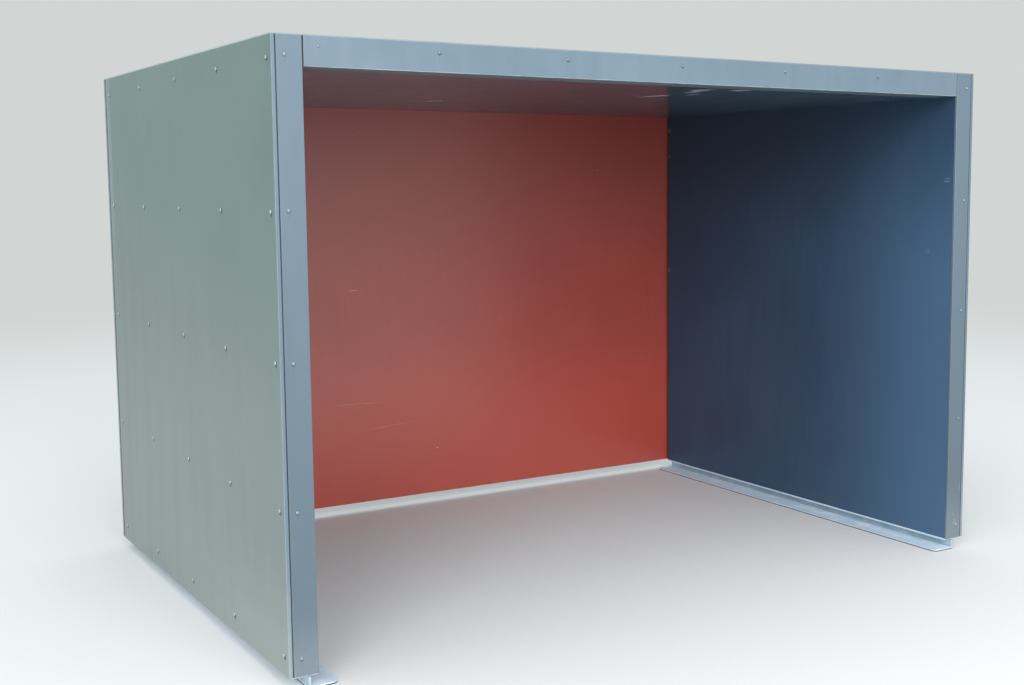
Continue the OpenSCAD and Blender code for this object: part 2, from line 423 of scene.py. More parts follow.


# colourOf changes the colour by place, the last argument says which edges are worn and get a painted
# highlight
def paintSheet(look, colourOf=None, wearHighlightWhere=None):
    shine = {"Specular IOR Level": look["shine"]}
    material, tree, shader, place = startMaterial(look["name"], shine)
    sheet = onSheet(tree, place, look["facing"])
    streaks = streaksOf(tree, sheet, look)
    skin = useGroup(tree, paintSkin, {"Sheet": sheet})
    dust = dustOf(tree, sheet, look)
    depth = split(tree, place)[1]
    thinned = fade(tree, depth, frontFace, panelBack, 1.0, sheetWear["dustAtBack"])
    dust = times(tree, dust, thinned)
    wearHighlight = useGroup(tree, edgeWearHighlight, {"Sheet": sheet})["Mask"]
    if wearHighlightWhere:
        wearHighlight = times(tree, wearHighlight, wearHighlightWhere(tree, place))
    inputs = {"Sheet": sheet, "Angle": sheetWear["scratchAngle"], "Coverage": look["scratches"]}
    scratches = useGroup(tree, hairScratches, inputs)["Mask"]
    colour = blendColour(tree, streaks, look["colour"], look["streakColour"])
    drift = times(tree, skin["Tone"], look["drift"])
    colour = blendColour(tree, drift, colour, look["driftColour"])
    if colourOf:
        colour = colourOf(tree, place, colour, skin["Tone"])
    colour = blendColour(tree, dust, colour, look["dustColour"])
    colour = blendColour(tree, times(tree, wearHighlight, look["wearHighlight"]), colour, wearHighlightColour)
    scratched = times(tree, scratches, look["scratchShow"])
    colour = blendColour(tree, scratched, colour, scratchColour)
    dulled = times(tree, streaks, look["streakRoughness"])
    roughness = calc(tree, "ADD", look["roughness"], dulled)
    roughness = calc(tree, "ADD", roughness, times(tree, dust, sheetWear["dustRoughness"]))
    coat(tree, shader, colour, roughness, skin["Height"], look["grainHeight"])
    return material, tree, shader, sheet


def coverColour(tree, shader, mask, colour):
    below = shader.inputs["Base Color"].links[0].from_socket
    feed(tree, shader.inputs["Base Color"], blendColour(tree, mask, below, colour))


def addScrewShadowsAndStains(tree, shader, sheet, first, pitch, halo, amount):
    inputs = {"Sheet": sheet, "First": first, "Pitch": pitch, "Halo": halo}
    mask = useGroup(tree, screwShadowAndStain, inputs)["Mask"]
    coverColour(tree, shader, times(tree, mask, amount), stain["colour"])


def addScuffs(tree, shader, sheet, scuffs, colour, notWhere=None):
    for centre, angle, length, width, amount in scuffs:
        inputs = {"Sheet": sheet, "Centre": (*centre, 0.0), "Angle": angle, "Length": length, "Width": width}
        mask = times(tree, useGroup(tree, scuffMark, inputs)["Mask"], amount)
        if notWhere:
            mask = times(tree, mask, calc(tree, "SUBTRACT", 1.0, notWhere))
        coverColour(tree, shader, mask, colour)


# Distance of a place from the middle of the shelter along one axis
def offMiddle(tree, place, axis):
    return calc(tree, "ABSOLUTE", split(tree, place)[axis])


# Wear and a painted highlight show on the outer corners of the walls and on the lower edge over the opening
def outerCorners(tree, place):
    return calc(tree, "GREATER_THAN", offMiddle(tree, place, 0), outerFace - finishDepth["corner"])


def lowerEdge(tree, place):
    height = split(tree, place)[2]
    return calc(tree, "LESS_THAN", height, low("top_fascia").z + finishDepth["lowerEdge"])


# Painted reflection: the grey sheets are lighter lower down, where they reflect the bright ground
def withLowReflection(tree, place, colour):
    height = split(tree, place)[2]
    level = fade(tree, height, outerSheet["lowReflectionTop"], outerSheet["lowReflectionBottom"])
    lowReflection = times(tree, level, outerSheet["lowReflection"])
    return blendColour(tree, lowReflection, colour, outerSheet["lowReflectionColour"])


# A paler strip up the rear edge of the walls: distances from the edge, heights, strength
rearStrip = {"from": 0.07, "to": 0.04, "bottom": 1.0, "top": 1.6, "amount": 0.12}


# The narrow edges of the wall sheets are as grey as the fascias; their difference from the greener faces is
# painted reflection
def wallColours(tree, place, colour, tone):
    parts = split(tree, place)
    beside = fade(tree, parts[1], panelBack - rearStrip["from"], panelBack - rearStrip["to"])
    level = fade(tree, parts[2], rearStrip["bottom"], rearStrip["top"], 0.0, rearStrip["amount"])
    strip = times(tree, beside, level)
    paled = blendColour(tree, strip, withLowReflection(tree, place, colour), wearHighlightColour)
    inside = calc(tree, "LESS_THAN", offMiddle(tree, place, 0), outerFace - finishDepth["wall"])
    return blendColour(tree, inside, paled, edgeGrey)


# Painted shade: the upright fascias are darker towards the ground
def paintedShadeBelow(tree, place, colour, tone):
    height = split(tree, place)[2]
    upward = fade(tree, height, fasciaSheet["gradeBottom"], fasciaSheet["gradeTop"])
    graded = blendColour(tree, upward, fasciaSheet["lowColour"], fasciaSheet["highColour"])
    return blendColour(tree, fasciaSheet["grade"], colour, graded)


def onOutside(tree, place):
    depth = split(tree, place)[1]
    return calc(tree, "GREATER_THAN", depth, rearInside + finishDepth["rear"])


# Inside red up to the linings, with painted light lower down and painted shade towards the top, black tape
# behind them, outside and edges as grey as the walls
def redInside(tree, place, colour, tone):
    sheet = onSheet(tree, place, "front")
    height = split(tree, sheet)[1]
    paintedLightBelow = fade(tree, height, rearSheet["middle"], rearSheet["bottom"], 0.0, rearSheet["paintedLightBelow"])
    paintedShadeAbove = fade(tree, height, rearSheet["middle"], rearSheet["top"], 0.0, rearSheet["paintedShadeAbove"])
    colour = blendColour(tree, paintedLightBelow, colour, rearSheet["lowColour"])
    colour = blendColour(tree, paintedShadeAbove, colour, rearSheet["highColour"])
    outwards = offMiddle(tree, place, 0)
    taped = calc(tree, "GREATER_THAN", outwards, liningBack)
    atEnds = calc(tree, "GREATER_THAN", outwards, high("right_stud_1").x)
    inner = blendColour(tree, atEnds, blendColour(tree, taped, colour, tapeColour), edgeGrey)
    streaks = streaksOf(tree, sheet, outerSheet)
    outer = blendColour(tree, streaks, outerSheet["colour"], outerSheet["streakColour"])
    drift = times(tree, tone, outerSheet["drift"])
    outer = withLowReflection(tree, place, blendColour(tree, drift, outer, outerSheet["driftColour"]))
    dust = times(tree, dustOf(tree, sheet, outerSheet), rearSheet["outsideDust"])
    dusty = blendColour(tree, dust, outer, outerSheet["dustColour"])
    return blendColour(tree, onOutside(tree, place), inner, dusty)


# Painted light on the lower front of the linings, where light comes in at the opening, and painted shade on
# the upper front, which is duller
def litAndShadedFront(tree, place, colour, tone):
    parts = split(tree, place)
    front = fade(tree, parts[1], liningSheet["paintedLightDepth"], frontFace)
    lower = fade(tree, parts[2], liningSheet["paintedLightTop"], liningSheet["paintedLightBottom"])
    upper = fade(tree, parts[2], liningSheet["shadeBottom"], liningSheet["shadeTop"])
    shaded = times(tree, upper, fade(tree, parts[1], frontFace, 0.0))
    dull = blendColour(tree, shaded, colour, liningSheet["shadeColour"])
    paintedLit = times(tree, times(tree, front, lower), liningSheet["paintedLight"])
    return blendColour(tree, paintedLit, dull, liningSheet["paintedLightColour"])


outerPaint, tree, shader, sheet = paintSheet(outerSheet, wallColours, outerCorners)
first = (studLines[0] - stain["wallShadowDrop"], rowBottom - stain["wallShadowDrop"], 0)
addScrewShadowsAndStains(tree, shader, sheet, first, (studPitch, rowPitch, 1), stain["wallHalo"], stain["onWalls"])
dress(both("outer_panel"), outerPaint)

# The upright fascias take a darker copy of the fascia paint: painted shade
shadedSideFascia = dict(fasciaSheet, name="sideFasciaPaint", colour=(0.112, 0.155, 0.190, 1),
                  streakColour=(0.126, 0.170, 0.205, 1), driftColour=(0.092, 0.130, 0.163, 1), wearHighlight=0.08)
sidePaint, tree, shader, sheet = paintSheet(shadedSideFascia, paintedShadeBelow)
first, pitch = (fasciaX, fasciaRow - stain["fasciaShadowDrop"], 0), (2 * fasciaX, fasciaPitch, 1)
addScrewShadowsAndStains(tree, shader, sheet, first, pitch, stain["fasciaHalo"], stain["onUprights"])
# Scuffs: centre, angle, length and width on the sheet, strength
fasciaScuffs = [
    ((1.449, 0.118), 1.5, 0.030, 0.008, 0.9),
    ((1.441, 0.152), 1.2, 0.018, 0.006, 0.8),
    ((1.476, 0.270), 1.6, 0.040, 0.005, 0.6),
]
addScuffs(tree, shader, sheet, fasciaScuffs, (0.44, 0.50, 0.55, 1))
dress(both("fascia"), sidePaint)

fasciaPaint, tree, shader, sheet = paintSheet(fasciaSheet, None, lowerEdge)
first, pitch = (0, topLine - stain["fasciaShadowDrop"], 0), (joistPitch, 1, 1)
addScrewShadowsAndStains(tree, shader, sheet, first, pitch, stain["fasciaHalo"], stain["onTop"])
dress(["top_fascia"], fasciaPaint)

liningScuffs = [
    ((0.976, 1.835), 1.4, 0.028, 0.018, 1.0),
    ((0.977, 1.699), 1.6, 0.022, 0.017, 1.0),
    ((0.976, 1.090), 1.5, 0.028, 0.018, 1.0),
    ((-0.971, 1.564), 0.0, 0.040, 0.018, 0.45),
    ((-0.874, 1.265), 0.2, 0.018, 0.014, 1.0),
    ((0.19, 1.03), 0.9, 0.016, 0.007, 0.6),
]
liningPaint, tree, shader, sheet = paintSheet(liningSheet, litAndShadedFront)
addScuffs(tree, shader, sheet, liningScuffs, (0.50, 0.56, 0.62, 1))
dress(both("lining"), liningPaint)

ceilingScuffs = [
    ((-0.361, 0.355), -1.174, 0.30, 0.050, 0.55),
    ((-0.323, 0.286), -1.348, 0.14, 0.055, 0.8),
    ((0.309, -0.413), -1.254, 0.20, 0.060, 1.0),
    ((0.300, -0.440), -1.254, 0.14, 0.050, 1.0),
    ((0.285, -0.745), -1.765, 0.30, 0.050, 1.0),
    ((0.252, -0.770), -1.765, 0.12, 0.045, 1.0),
    ((0.386, -0.570), -1.523, 0.10, 0.040, 1.0),
    ((0.402, -0.838), -1.185, 0.10, 0.075, 1.0),
    ((0.412, -0.842), -1.185, 0.08, 0.060, 1.0),
    ((0.520, -0.480), -0.80, 0.060, 0.045, 0.3),
]
ceilingPaint, tree, shader, sheet = paintSheet(ceilingSheet)
addScuffs(tree, shader, sheet, ceilingScuffs, (0.80, 0.82, 0.84, 1))
dress(["ceiling_panel"], ceilingPaint)

dress(["front_soffit"], paintSheet(soffitSheet)[0])

rearScuffs = [
    ((-0.411, 1.061), 0.04, 0.055, 0.008, 0.6),
    ((-0.405, 0.522), -0.02, 0.30, 0.007, 0.28),
    ((-0.244, 0.400), 0.078, 0.30, 0.007, 0.26),
    ((0.963, 1.624), 0.3, 0.014, 0.008, 0.7),
    ((0.012, 0.265), 0.2, 0.020, 0.010, 0.8),
]
rearPaint, tree, shader, sheet = paintSheet(rearSheet, redInside)
place = addNode(tree, "ShaderNodeTexCoord").outputs["Object"]
addScuffs(tree, shader, sheet, rearScuffs, (0.62, 0.46, 0.42, 1), onOutside(tree, place))
dress(["rear_panel"], rearPaint)
print("painted sheets ready")


# Galvanised steel: dull zinc with a faint crystal pattern, painted shade on the upright leg and a painted
# contact shadow along the ground
zinc = {
    "dark": (0.63, 0.79, 0.92, 1), "light": (0.71, 0.85, 0.94, 1), "bloom": (0.79, 0.89, 0.95, 1),
    # The film colour paints shade on the upright leg, the near-black colour paints the contact shadow at the
    # ground
    "film": (0.22, 0.30, 0.35, 1), "paintedShadeOnLeg": 0.75, "paintedContactShadow": (0.03, 0.04, 0.05, 1),
    "spangle": 0.012, "crystals": 0.5, "metal": 0.12, "roughness": 0.42, "bloomRoughness": 0.15,
    "legShadeBottom": 0.0088, "contactShadowTop": 0.0052, "contactShadowBottom": 0.0034, "contactShadowStrength": 0.95,
}


def zincSteel(name, film):
    material, tree, shader, place = startMaterial(name, {"Metallic": zinc["metal"]})
    cells = addNode(tree, "ShaderNodeTexVoronoi", {"Vector": place, "Scale": 1 / zinc["spangle"]})
    shade = split(tree, cells.outputs["Color"])[0]
    bloom = fade(tree, cloud(tree, place, 14.0, 4.0), 0.45, 0.7)
    crystals = times(tree, shade, zinc["crystals"])
    spangled = blendColour(tree, crystals, zinc["dark"], zinc["light"])
    clean = blendColour(tree, bloom, spangled, zinc["bloom"])
    height = split(tree, place)[2]
    # Painted shade: the film colour darkens everything above the flange, which is the upright leg
    patchy = fade(tree, cloud(tree, place, 9.0, 4.0), 0.25, 0.6, 0.6 * film, film)
    filmed = times(tree, calc(tree, "GREATER_THAN", height, zinc["legShadeBottom"]), patchy)
    dull = blendColour(tree, filmed, clean, zinc["film"])
    # Painted contact shadow: the lowest few millimetres are darkened
    lowest = fade(tree, height, zinc["contactShadowTop"], zinc["contactShadowBottom"])
    paintedContactShadow = times(tree, lowest, zinc["contactShadowStrength"])
    colour = blendColour(tree, paintedContactShadow, dull, zinc["paintedContactShadow"])
    rough = calc(tree, "ADD", zinc["roughness"], times(tree, shade, 0.12))
    roughness = calc(tree, "ADD", rough, times(tree, bloom, zinc["bloomRoughness"]))
    coat(tree, shader, colour, roughness, cloud(tree, place, 180.0, 3.0), 0.0002)
    return material


# The bearing plate takes the same zinc without the painted shade on a leg
dress(both("base_angle"), zincSteel("galvanisedSteelShadedLeg", zinc["paintedShadeOnLeg"]))
dress(both("bearing_plate"), zincSteel("brightZinc", 0.0))


# Roof edge trim: mill-finish aluminium, a little dull and stained, with a painted highlight on its outer
# side faces
trim = {
    "colour": (0.27, 0.32, 0.35, 1), "stain": (0.18, 0.21, 0.23, 1), "paintedHighlight": (0.46, 0.55, 0.53, 1),
    "stained": 0.6, "metal": 0.4, "roughness": 0.42, "brushedRoughness": 0.2,
}


def trimMetal():
    material, tree, shader, place = startMaterial("trimAluminium", {"Metallic": trim["metal"]})
    stains = fade(tree, cloud(tree, place, 6.0, 5.0, 0.65), 0.5, 0.75)
    drawn = vectorCalc(tree, "MULTIPLY", place, (30.0, 30.0, 1500.0))
    brushed = cloud(tree, drawn, 1.0, 3.0)
    stained = times(tree, stains, trim["stained"])
    # Painted highlight: the outer side faces are lighter
    atSide = calc(tree, "GREATER_THAN", offMiddle(tree, place, 0), outerFace - finishDepth["trim"])
    clean = blendColour(tree, atSide, trim["colour"], trim["paintedHighlight"])
    colour = blendColour(tree, stained, clean, trim["stain"])
    dulled = times(tree, brushed, trim["brushedRoughness"])
    coat(tree, shader, colour, calc(tree, "ADD", trim["roughness"], dulled), brushed, 0.0001)
    return material


dress([side + "_edge_trim" for side in ("front", "rear", "left", "right")], trimMetal())


# Sawn timber: the rings run along each piece, black tape covers what the open joints show
timber = {
    "early": (0.42, 0.29, 0.17, 1), "late": (0.24, 0.14, 0.075, 1), "knot": (0.10, 0.05, 0.03, 1),
    "roughness": 0.75, "lateRoughness": 0.63,
}


def sawnTimber(name, stretch):
    material, tree, shader, place = startMaterial(name, {})
    stretched = vectorCalc(tree, "MULTIPLY", place, stretch)
    rings = fade(tree, cloud(tree, stretched, 1.0, 4.0, 0.6), 0.4, 0.62)
    spots = addNode(tree, "ShaderNodeTexVoronoi", {"Vector": place, "Scale": 3.1}).outputs["Distance"]
    knots = fade(tree, spots, 0.09, 0.02)
    grain = blendColour(tree, rings, timber["early"], timber["late"])
    knotty = blendColour(tree, knots, grain, timber["knot"])
    taped = calc(tree, "GREATER_THAN", offMiddle(tree, place, 1), panelBack - finishDepth["joint"])
    colour = blendColour(tree, taped, knotty, tapeColour)
    roughness = fade(tree, rings, 0.0, 1.0, timber["roughness"], timber["lateRoughness"])
    coat(tree, shader, colour, roughness, rings, 0.0006)
    return material


studNames = ["%s_stud_%d" % (side, n) for side in walls for n in range(1, 6)]
railsAlongY = both("sill_rail") + both("head_rail")
dress(studNames, sawnTimber("uprightTimber", (60.0, 60.0, 3.0)))
dress(railsAlongY + joistNames, sawnTimber("railTimber", (60.0, 3.0, 60.0)))
dress(["roof_front_rail", "roof_rear_rail"], sawnTimber("crossTimber", (3.0, 60.0, 60.0)))
dress(["roof_deck"], sawnTimber("deckPly", (5.0, 22.0, 700.0)))


# Roof membrane: dull grey felt with dust, dried puddles and a mineral grain
membrane = {
    "felt": (0.085, 0.090, 0.095, 1), "dust": (0.165, 0.168, 0.165, 1),
    "bitumen": (0.018, 0.019, 0.021, 1), "silt": (0.105, 0.105, 0.088, 1),
    "mineral": (0.30, 0.30, 0.30, 1), "mineralAmount": 0.5, "filmAmount": 0.30, "ringAmount": 0.3,
    "siltStart": 0.17, "siltEnd": 0.03, "siltWander": 0.105, "siltAmount": 0.6,
    "roughness": 0.72, "dustyRoughness": 0.95,
}
# Each width of felt laps over the next one and shows one edge
laps = {
    "count": 3, "pitch": 0.96, "width": 0.10, "height": 0.0022, "edge": 0.006,
    "waves": 0.002, "steps": 72, "inset": 0.002, "bed": 0.0003,
    "bleed": 0.014, "bleedCore": 0.003, "bleedWander": 0.014, "bleedAmount": 0.75,
}


def roofMembrane():
    material, tree, shader, place = startMaterial("roofMembrane", {})
    puddles = cloud(tree, place, 1.3, 5.0, 0.6)
    ring = times(tree, fade(tree, puddles, 0.46, 0.52), fade(tree, puddles, 0.60, 0.53))
    film = fade(tree, cloud(tree, place, 4.0, 6.0, 0.7), 0.4, 0.75)
    grains = cloud(tree, place, 900.0, 1.0)
    filmed = times(tree, film, membrane["filmAmount"])
    dusty = blendColour(tree, filmed, membrane["felt"], membrane["dust"])
    dried = times(tree, ring, membrane["ringAmount"])
    ringed = blendColour(tree, dried, dusty, membrane["dust"])
    parts = split(tree, place)
    wander = calc(tree, "SUBTRACT", cloud(tree, place, 7.0, 3.0), 0.5)
    fromEdge = calc(tree, "SUBTRACT", parts[0], laps["width"] / 2)
    shifted = calc(tree, "ADD", fromEdge, times(tree, wander, laps["bleedWander"]))
    away = calc(tree, "ABSOLUTE", offLine(tree, shifted, laps["pitch"]))
    bleed = fade(tree, away, laps["bleed"], laps["bleedCore"], 0.0, laps["bleedAmount"])
    bled = blendColour(tree, bleed, ringed, membrane["bitumen"])
    toSide = calc(tree, "SUBTRACT", outerFace, calc(tree, "ABSOLUTE", parts[0]))
    toEnd = calc(tree, "SUBTRACT", -frontFace, calc(tree, "ABSOLUTE", parts[1]))
    uneven = times(tree, wander, membrane["siltWander"])
    edge = calc(tree, "ADD", calc(tree, "MINIMUM", toSide, toEnd), uneven)
    silted = fade(tree, edge, membrane["siltStart"], membrane["siltEnd"], 0.0, membrane["siltAmount"])
    gathered = blendColour(tree, silted, bled, membrane["silt"])
    mineral = fade(tree, grains, 0.55, 0.75, 0.0, membrane["mineralAmount"])
    speckled = blendColour(tree, mineral, gathered, membrane["mineral"])
    roughness = fade(tree, film, 0.0, 1.0, membrane["roughness"], membrane["dustyRoughness"])
    coat(tree, shader, speckled, roughness, grains, 0.0008)
    return material


membraneFelt = roofMembrane()
dress(["roof_covering"], membraneFelt)
print("metal, timber and roof finishes ready")


def addObject(name, data):
    made = bpy.data.objects.new(name, data)
    bpy.context.scene.collection.objects.link(made)
    return made


def meshObject(name, mesh, material=None):
    data = bpy.data.meshes.new(name)
    mesh.to_mesh(data)
    mesh.free()
    if material:
        data.materials.append(material)
    return addObject(name, data)


# Faces between two rings of vertices
def bridge(mesh, near, far):
    pairs = [(k, (k + 1) % len(near)) for k in range(len(near))]
    return [mesh.faces.new((near[k], near[j], far[j], far[k])) for k, j in pairs]


# Rubber seals in the open joints between the grey sheets
seal = {
    "recess": 0.0008, "bulge": 0.0005, "depth": 0.005, "slack": 0.00005, "endGap": 0.001, "steps": 6,
    "dust": (0.07, 0.075, 0.08, 1), "dustAmount": 0.35, "roughness": 0.6, "dustyRoughness": 0.85,
}


def rubberSeal():
    material, tree, shader, place = startMaterial("sealRubber", {"IOR": 1.5})
    dusty = fade(tree, cloud(tree, place, 35.0, 4.0), 0.45, 0.75, 0.0, seal["dustAmount"])
    colour = blendColour(tree, dusty, tapeColour, seal["dust"])
    roughness = fade(tree, dusty, 0.0, seal["dustAmount"], seal["roughness"], seal["dustyRoughness"])
    coat(tree, shader, colour, roughness, cloud(tree, place, 800.0, 2.0), 0.0001)
    return material


def addSeals():
    seams = []
    for sign in (-1, 1):
        reach = (panelBottom, panelTop)
        seams.append((sign * high("left_outer_panel").x, sign * low("left_fascia").x, *reach))
        reach = (low("top_fascia").z, high("top_fascia").z)
        seams.append((sign * high("left_fascia").x, sign * low("top_fascia").x, *reach))
    mesh = bmesh.new()
    for one, other, bottom, top in seams:
        middle = (one + other) / 2
        half = abs(one - other) / 2 - seal["slack"]
        front = frontFace + seal["recess"]
        outline = [(middle + half, front + seal["depth"]), (middle - half, front + seal["depth"])]
        for k in range(seal["steps"] + 1):
            angle = math.pi * k / seal["steps"]
            outline.append((middle - half * math.cos(angle), front + seal["bulge"] * (1 - math.sin(angle))))
        rings = []
        for level in (bottom + seal["endGap"], top - seal["endGap"]):
            rings.append([mesh.verts.new((x, y, level)) for x, y in outline])
        lower, upper = rings
        bridge(mesh, lower, upper)
        mesh.faces.new(lower)
        mesh.faces.new(upper)
    bmesh.ops.recalc_face_normals(mesh, faces=mesh.faces)
    piece = meshObject("joint_seals", mesh, rubberSeal())
    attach(piece, "root")


addSeals()
print("joint seals set")


# Laps of the roof felt: they rise gently from one side and end in a pressed, slightly wavy edge
def addLaps():
    roof = high("roof_covering")
    start, end = low("roof_covering").y + laps["inset"], roof.y - laps["inset"]
    bed = roof.z - laps["bed"]
    mesh = bmesh.new()
    for number in range(laps["count"]):
        line = (number - (laps["count"] - 1) / 2) * laps["pitch"]
        rings = []
        for k in range(laps["steps"] + 1):
            y = start + (end - start) * k / laps["steps"]
            wave = laps["waves"] * (math.sin(5.1 * y + number) + 0.5 * math.sin(13.7 * y + 2 * number))
            half, edge, top = laps["width"] / 2, laps["edge"], roof.z + laps["height"]
            profile = [(-half, bed), (0.2 * half, top - 0.0003), (half - 2 * edge + wave, top),
                       (half - 0.4 * edge + wave, top - 0.0004), (half + wave, bed)]
            rings.append([mesh.verts.new((line + x, y, z)) for x, z in profile])
        for near, far in zip(rings, rings[1:]):
            bridge(mesh, near, far)
        mesh.faces.new(rings[0])
        mesh.faces.new(rings[-1])
    bmesh.ops.recalc_face_normals(mesh, faces=mesh.faces)
    piece = meshObject("roof_laps", mesh, membraneFelt)
    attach(piece, "root")


addLaps()
print("roof laps set")


# Screws: domed heads with a six-lobed socket, set out in even grids

screwHead = {"radius": 0.0065, "height": 0.0036, "socket": 0.0020, "sides": 20,
             "dullRoughness": 0.5}


def addHead():
    r, h, s = screwHead["radius"], screwHead["height"], screwHead["socket"]
    profile = [(r, 0.0), (r, 0.18 * h), (0.93 * r, 0.45 * h), (0.72 * r, 0.78 * h), (0.45 * r, 0.97 * h)]
    mesh = bmesh.new()
    rings = []
    for radius, level in profile + [(s, h), (0.8 * s, 0.35 * h)]:
        lobed = radius <= s
        ring = []
        for k in range(screwHead["sides"]):
            angle = 2 * math.pi * k / screwHead["sides"]
            reach = radius * (1 + 0.16 * math.cos(6 * angle)) if lobed else radius
            ring.append(mesh.verts.new((reach * math.cos(angle), reach * math.sin(angle), level)))
        rings.append(ring)
    for outer, inner in zip(rings, rings[1:]):
        for face in bridge(mesh, outer, inner):
            face.smooth = True
    mesh.faces.new(rings[-1])
    mesh.faces.new(list(reversed(rings[0])))
    return meshObject("screwHead", mesh)


# One kind of screw in three copies: the wall and upright fascia screws are lighter than the grey ones, a
# painted highlight
brightScrew = {"name": "brightScrew", "colour": (0.62, 0.67, 0.69, 1), "dull": (0.38, 0.42, 0.44, 1),
               "metal": 0.85, "roughness": 0.24}
greyScrew = {"name": "greyScrew", "colour": (0.27, 0.33, 0.37, 1), "dull": (0.16, 0.20, 0.23, 1),
             "metal": 0.5, "roughness": 0.28}
uprightScrew = dict(greyScrew, name="uprightScrew", colour=(0.36, 0.42, 0.46, 1),
                    dull=(0.20, 0.25, 0.28, 1))


def screwSteel(look):
    material, tree, shader, place = startMaterial(look["name"], {"Metallic": look["metal"]})
    dull = fade(tree, cloud(tree, place, 400.0, 3.0), 0.4, 0.7)
    colour = blendColour(tree, dull, look["colour"], look["dull"])
    roughness = fade(tree, dull, 0.0, 1.0, look["roughness"], screwHead["dullRoughness"])
    coat(tree, shader, colour, roughness, dull, 0.0001)
    return material


def screwTree():
    inputs = [("Head", "NodeSocketObject", None), ("Columns", "NodeSocketInt", 1),
              ("Rows", "NodeSocketInt", 1), ("Column Pitch", floatType, 0.5), ("Row Pitch", floatType, 0.5),
              ("Size", floatType, 1.0), ("First Screw", vectorType, (0.0, 0.0, 0.0)),
              ("Turn", vectorType, (0.0, 0.0, 0.0)), ("Spin Seed", "NodeSocketInt", 3),
              ("Finish", "NodeSocketMaterial", None)]
    outputs = [("Geometry", "NodeSocketGeometry")]
    tree, given, wanted = startGroup("screwGrid", "GeometryNodeTree", inputs, outputs)
    index = addNode(tree, "GeometryNodeInputIndex").outputs[0]
    column = calc(tree, "MODULO", index, given["Columns"])
    row = calc(tree, "FLOOR", calc(tree, "DIVIDE", index, given["Columns"]))
    across = times(tree, column, given["Column Pitch"])
    up = times(tree, row, given["Row Pitch"])
    place = join(tree, across, up)
    count = times(tree, given["Columns"], given["Rows"])
    points = addNode(tree, "GeometryNodePoints", {"Count": count, "Position": place}).outputs[0]
    spin = addNode(tree, "FunctionNodeRandomValue", {"Seed": given["Spin Seed"]}, data_type="FLOAT")
    spin.inputs[2].default_value, spin.inputs[3].default_value = 0.0, math.tau
    turn = join(tree, z=spin.outputs[1])
    head = addNode(tree, "GeometryNodeObjectInfo", {"Object": given["Head"]}).outputs["Geometry"]
    inputs = {"Points": points, "Instance": head, "Rotation": turn, "Scale": given["Size"]}
    heads = addNode(tree, "GeometryNodeInstanceOnPoints", inputs).outputs[0]
    inputs = {"Geometry": heads, "Translation": given["First Screw"], "Rotation": given["Turn"]}
    placed = addNode(tree, "GeometryNodeTransform", inputs).outputs[0]
    solid = addNode(tree, "GeometryNodeRealizeInstances", {"Geometry": placed}).outputs[0]
    finished = addNode(tree, "GeometryNodeSetMaterial", {"Geometry": solid, "Material": given["Finish"]})
    feed(tree, wanted["Geometry"], finished.outputs[0])
    return tree


def growPiece(name, tree, values):
    piece = addObject(name, bpy.data.meshes.new(name))
    modifier = piece.modifiers.new(name, "NODES")
    modifier.node_group = tree
    for item in tree.interface.items_tree:
        if item.in_out == "INPUT" and item.name in values:
            modifier[item.identifier] = values[item.name]
    depsgraph = bpy.context.evaluated_depsgraph_get()
    made = bpy.data.meshes.new_from_object(piece.evaluated_get(depsgraph))
    piece.modifiers.clear()
    piece.data = made
    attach(piece, "root")


# Turn of a grid whose columns run along one direction and rows along the other
def turnTo(across, up):
    across, up = Vector(across), Vector(up)
    return list(Matrix((across, up, across.cross(up))).transposed().to_euler())


def setScrews(name, finish, first, across, up, columns, rows, columnPitch, rowPitch, seed, size=1.0):
    values = {"Head": headObject, "Columns": columns, "Rows": rows, "Column Pitch": columnPitch,
              "Row Pitch": rowPitch, "Size": size, "First Screw": list(first), "Turn": turnTo(across, up),
              "Spin Seed": seed, "Finish": finish}
    growPiece(name, screwGrid, values)


headObject = addHead()
paintedHighlight, grey, upright = [screwSteel(look) for look in (brightScrew, greyScrew, uprightScrew)]
screwGrid = screwTree()

rows = screwRows["count"]
fasciaScrewSize, trimScrewSize = 0.84, 0.6
# Screws off the stud grid: from the middle, in from the outer face, below the top line
topEnd, rearInset, rearDrop = 1.353, 0.048, 0.015
trimRows = {"pitch": 0.4, "across": 8, "along": 5}

setScrews("left_wall_screws", paintedHighlight, (-outerFace, studLines[-1], rowBottom), (0, -1, 0), (0, 0, 1),
          len(studLines), rows, studPitch, rowPitch, 3)
setScrews("right_wall_screws", paintedHighlight, (outerFace, studLines[0], rowBottom), (0, 1, 0), (0, 0, 1),
          len(studLines), rows, studPitch, rowPitch, 4)
for name, x, seed in (("left_fascia_screws", -fasciaX, 5), ("right_fascia_screws", fasciaX, 6)):
    setScrews(name, upright, (x, frontFace, fasciaRow), (1, 0, 0), (0, 0, 1),
              1, rows, 1.0, fasciaPitch, seed, fasciaScrewSize)
setScrews("top_fascia_screws", grey, (joistLines[1], frontFace, topLine), (1, 0, 0), (0, 0, 1),
          5, 1, joistPitch, 1.0, 7, fasciaScrewSize)
setScrews("top_fascia_end_screws", grey, (-topEnd, frontFace, topLine), (1, 0, 0), (0, 0, 1),
          2, 1, 2 * topEnd, 1.0, 8, fasciaScrewSize)
rearX = outerFace - rearInset
setScrews("rear_side_screws", paintedHighlight, (rearX, rearOutside, rowBottom), (-1, 0, 0), (0, 0, 1),
          2, rows, 2 * rearX, rowPitch, 9)
setScrews("rear_top_screws", paintedHighlight, (joistLines[5], rearOutside, topLine - rearDrop), (-1, 0, 0),
          (0, 0, 1), 5, 1, joistPitch, 1.0, 10)
trimTop = high("front_edge_trim").z
trimInset = (high("front_edge_trim").y - low("front_edge_trim").y) / 2
acrossLine, alongLine = -frontFace - trimInset, outerFace - trimInset
firstAcross = -trimRows["pitch"] * (trimRows["across"] - 1) / 2
firstAlong = -trimRows["pitch"] * (trimRows["along"] - 1) / 2
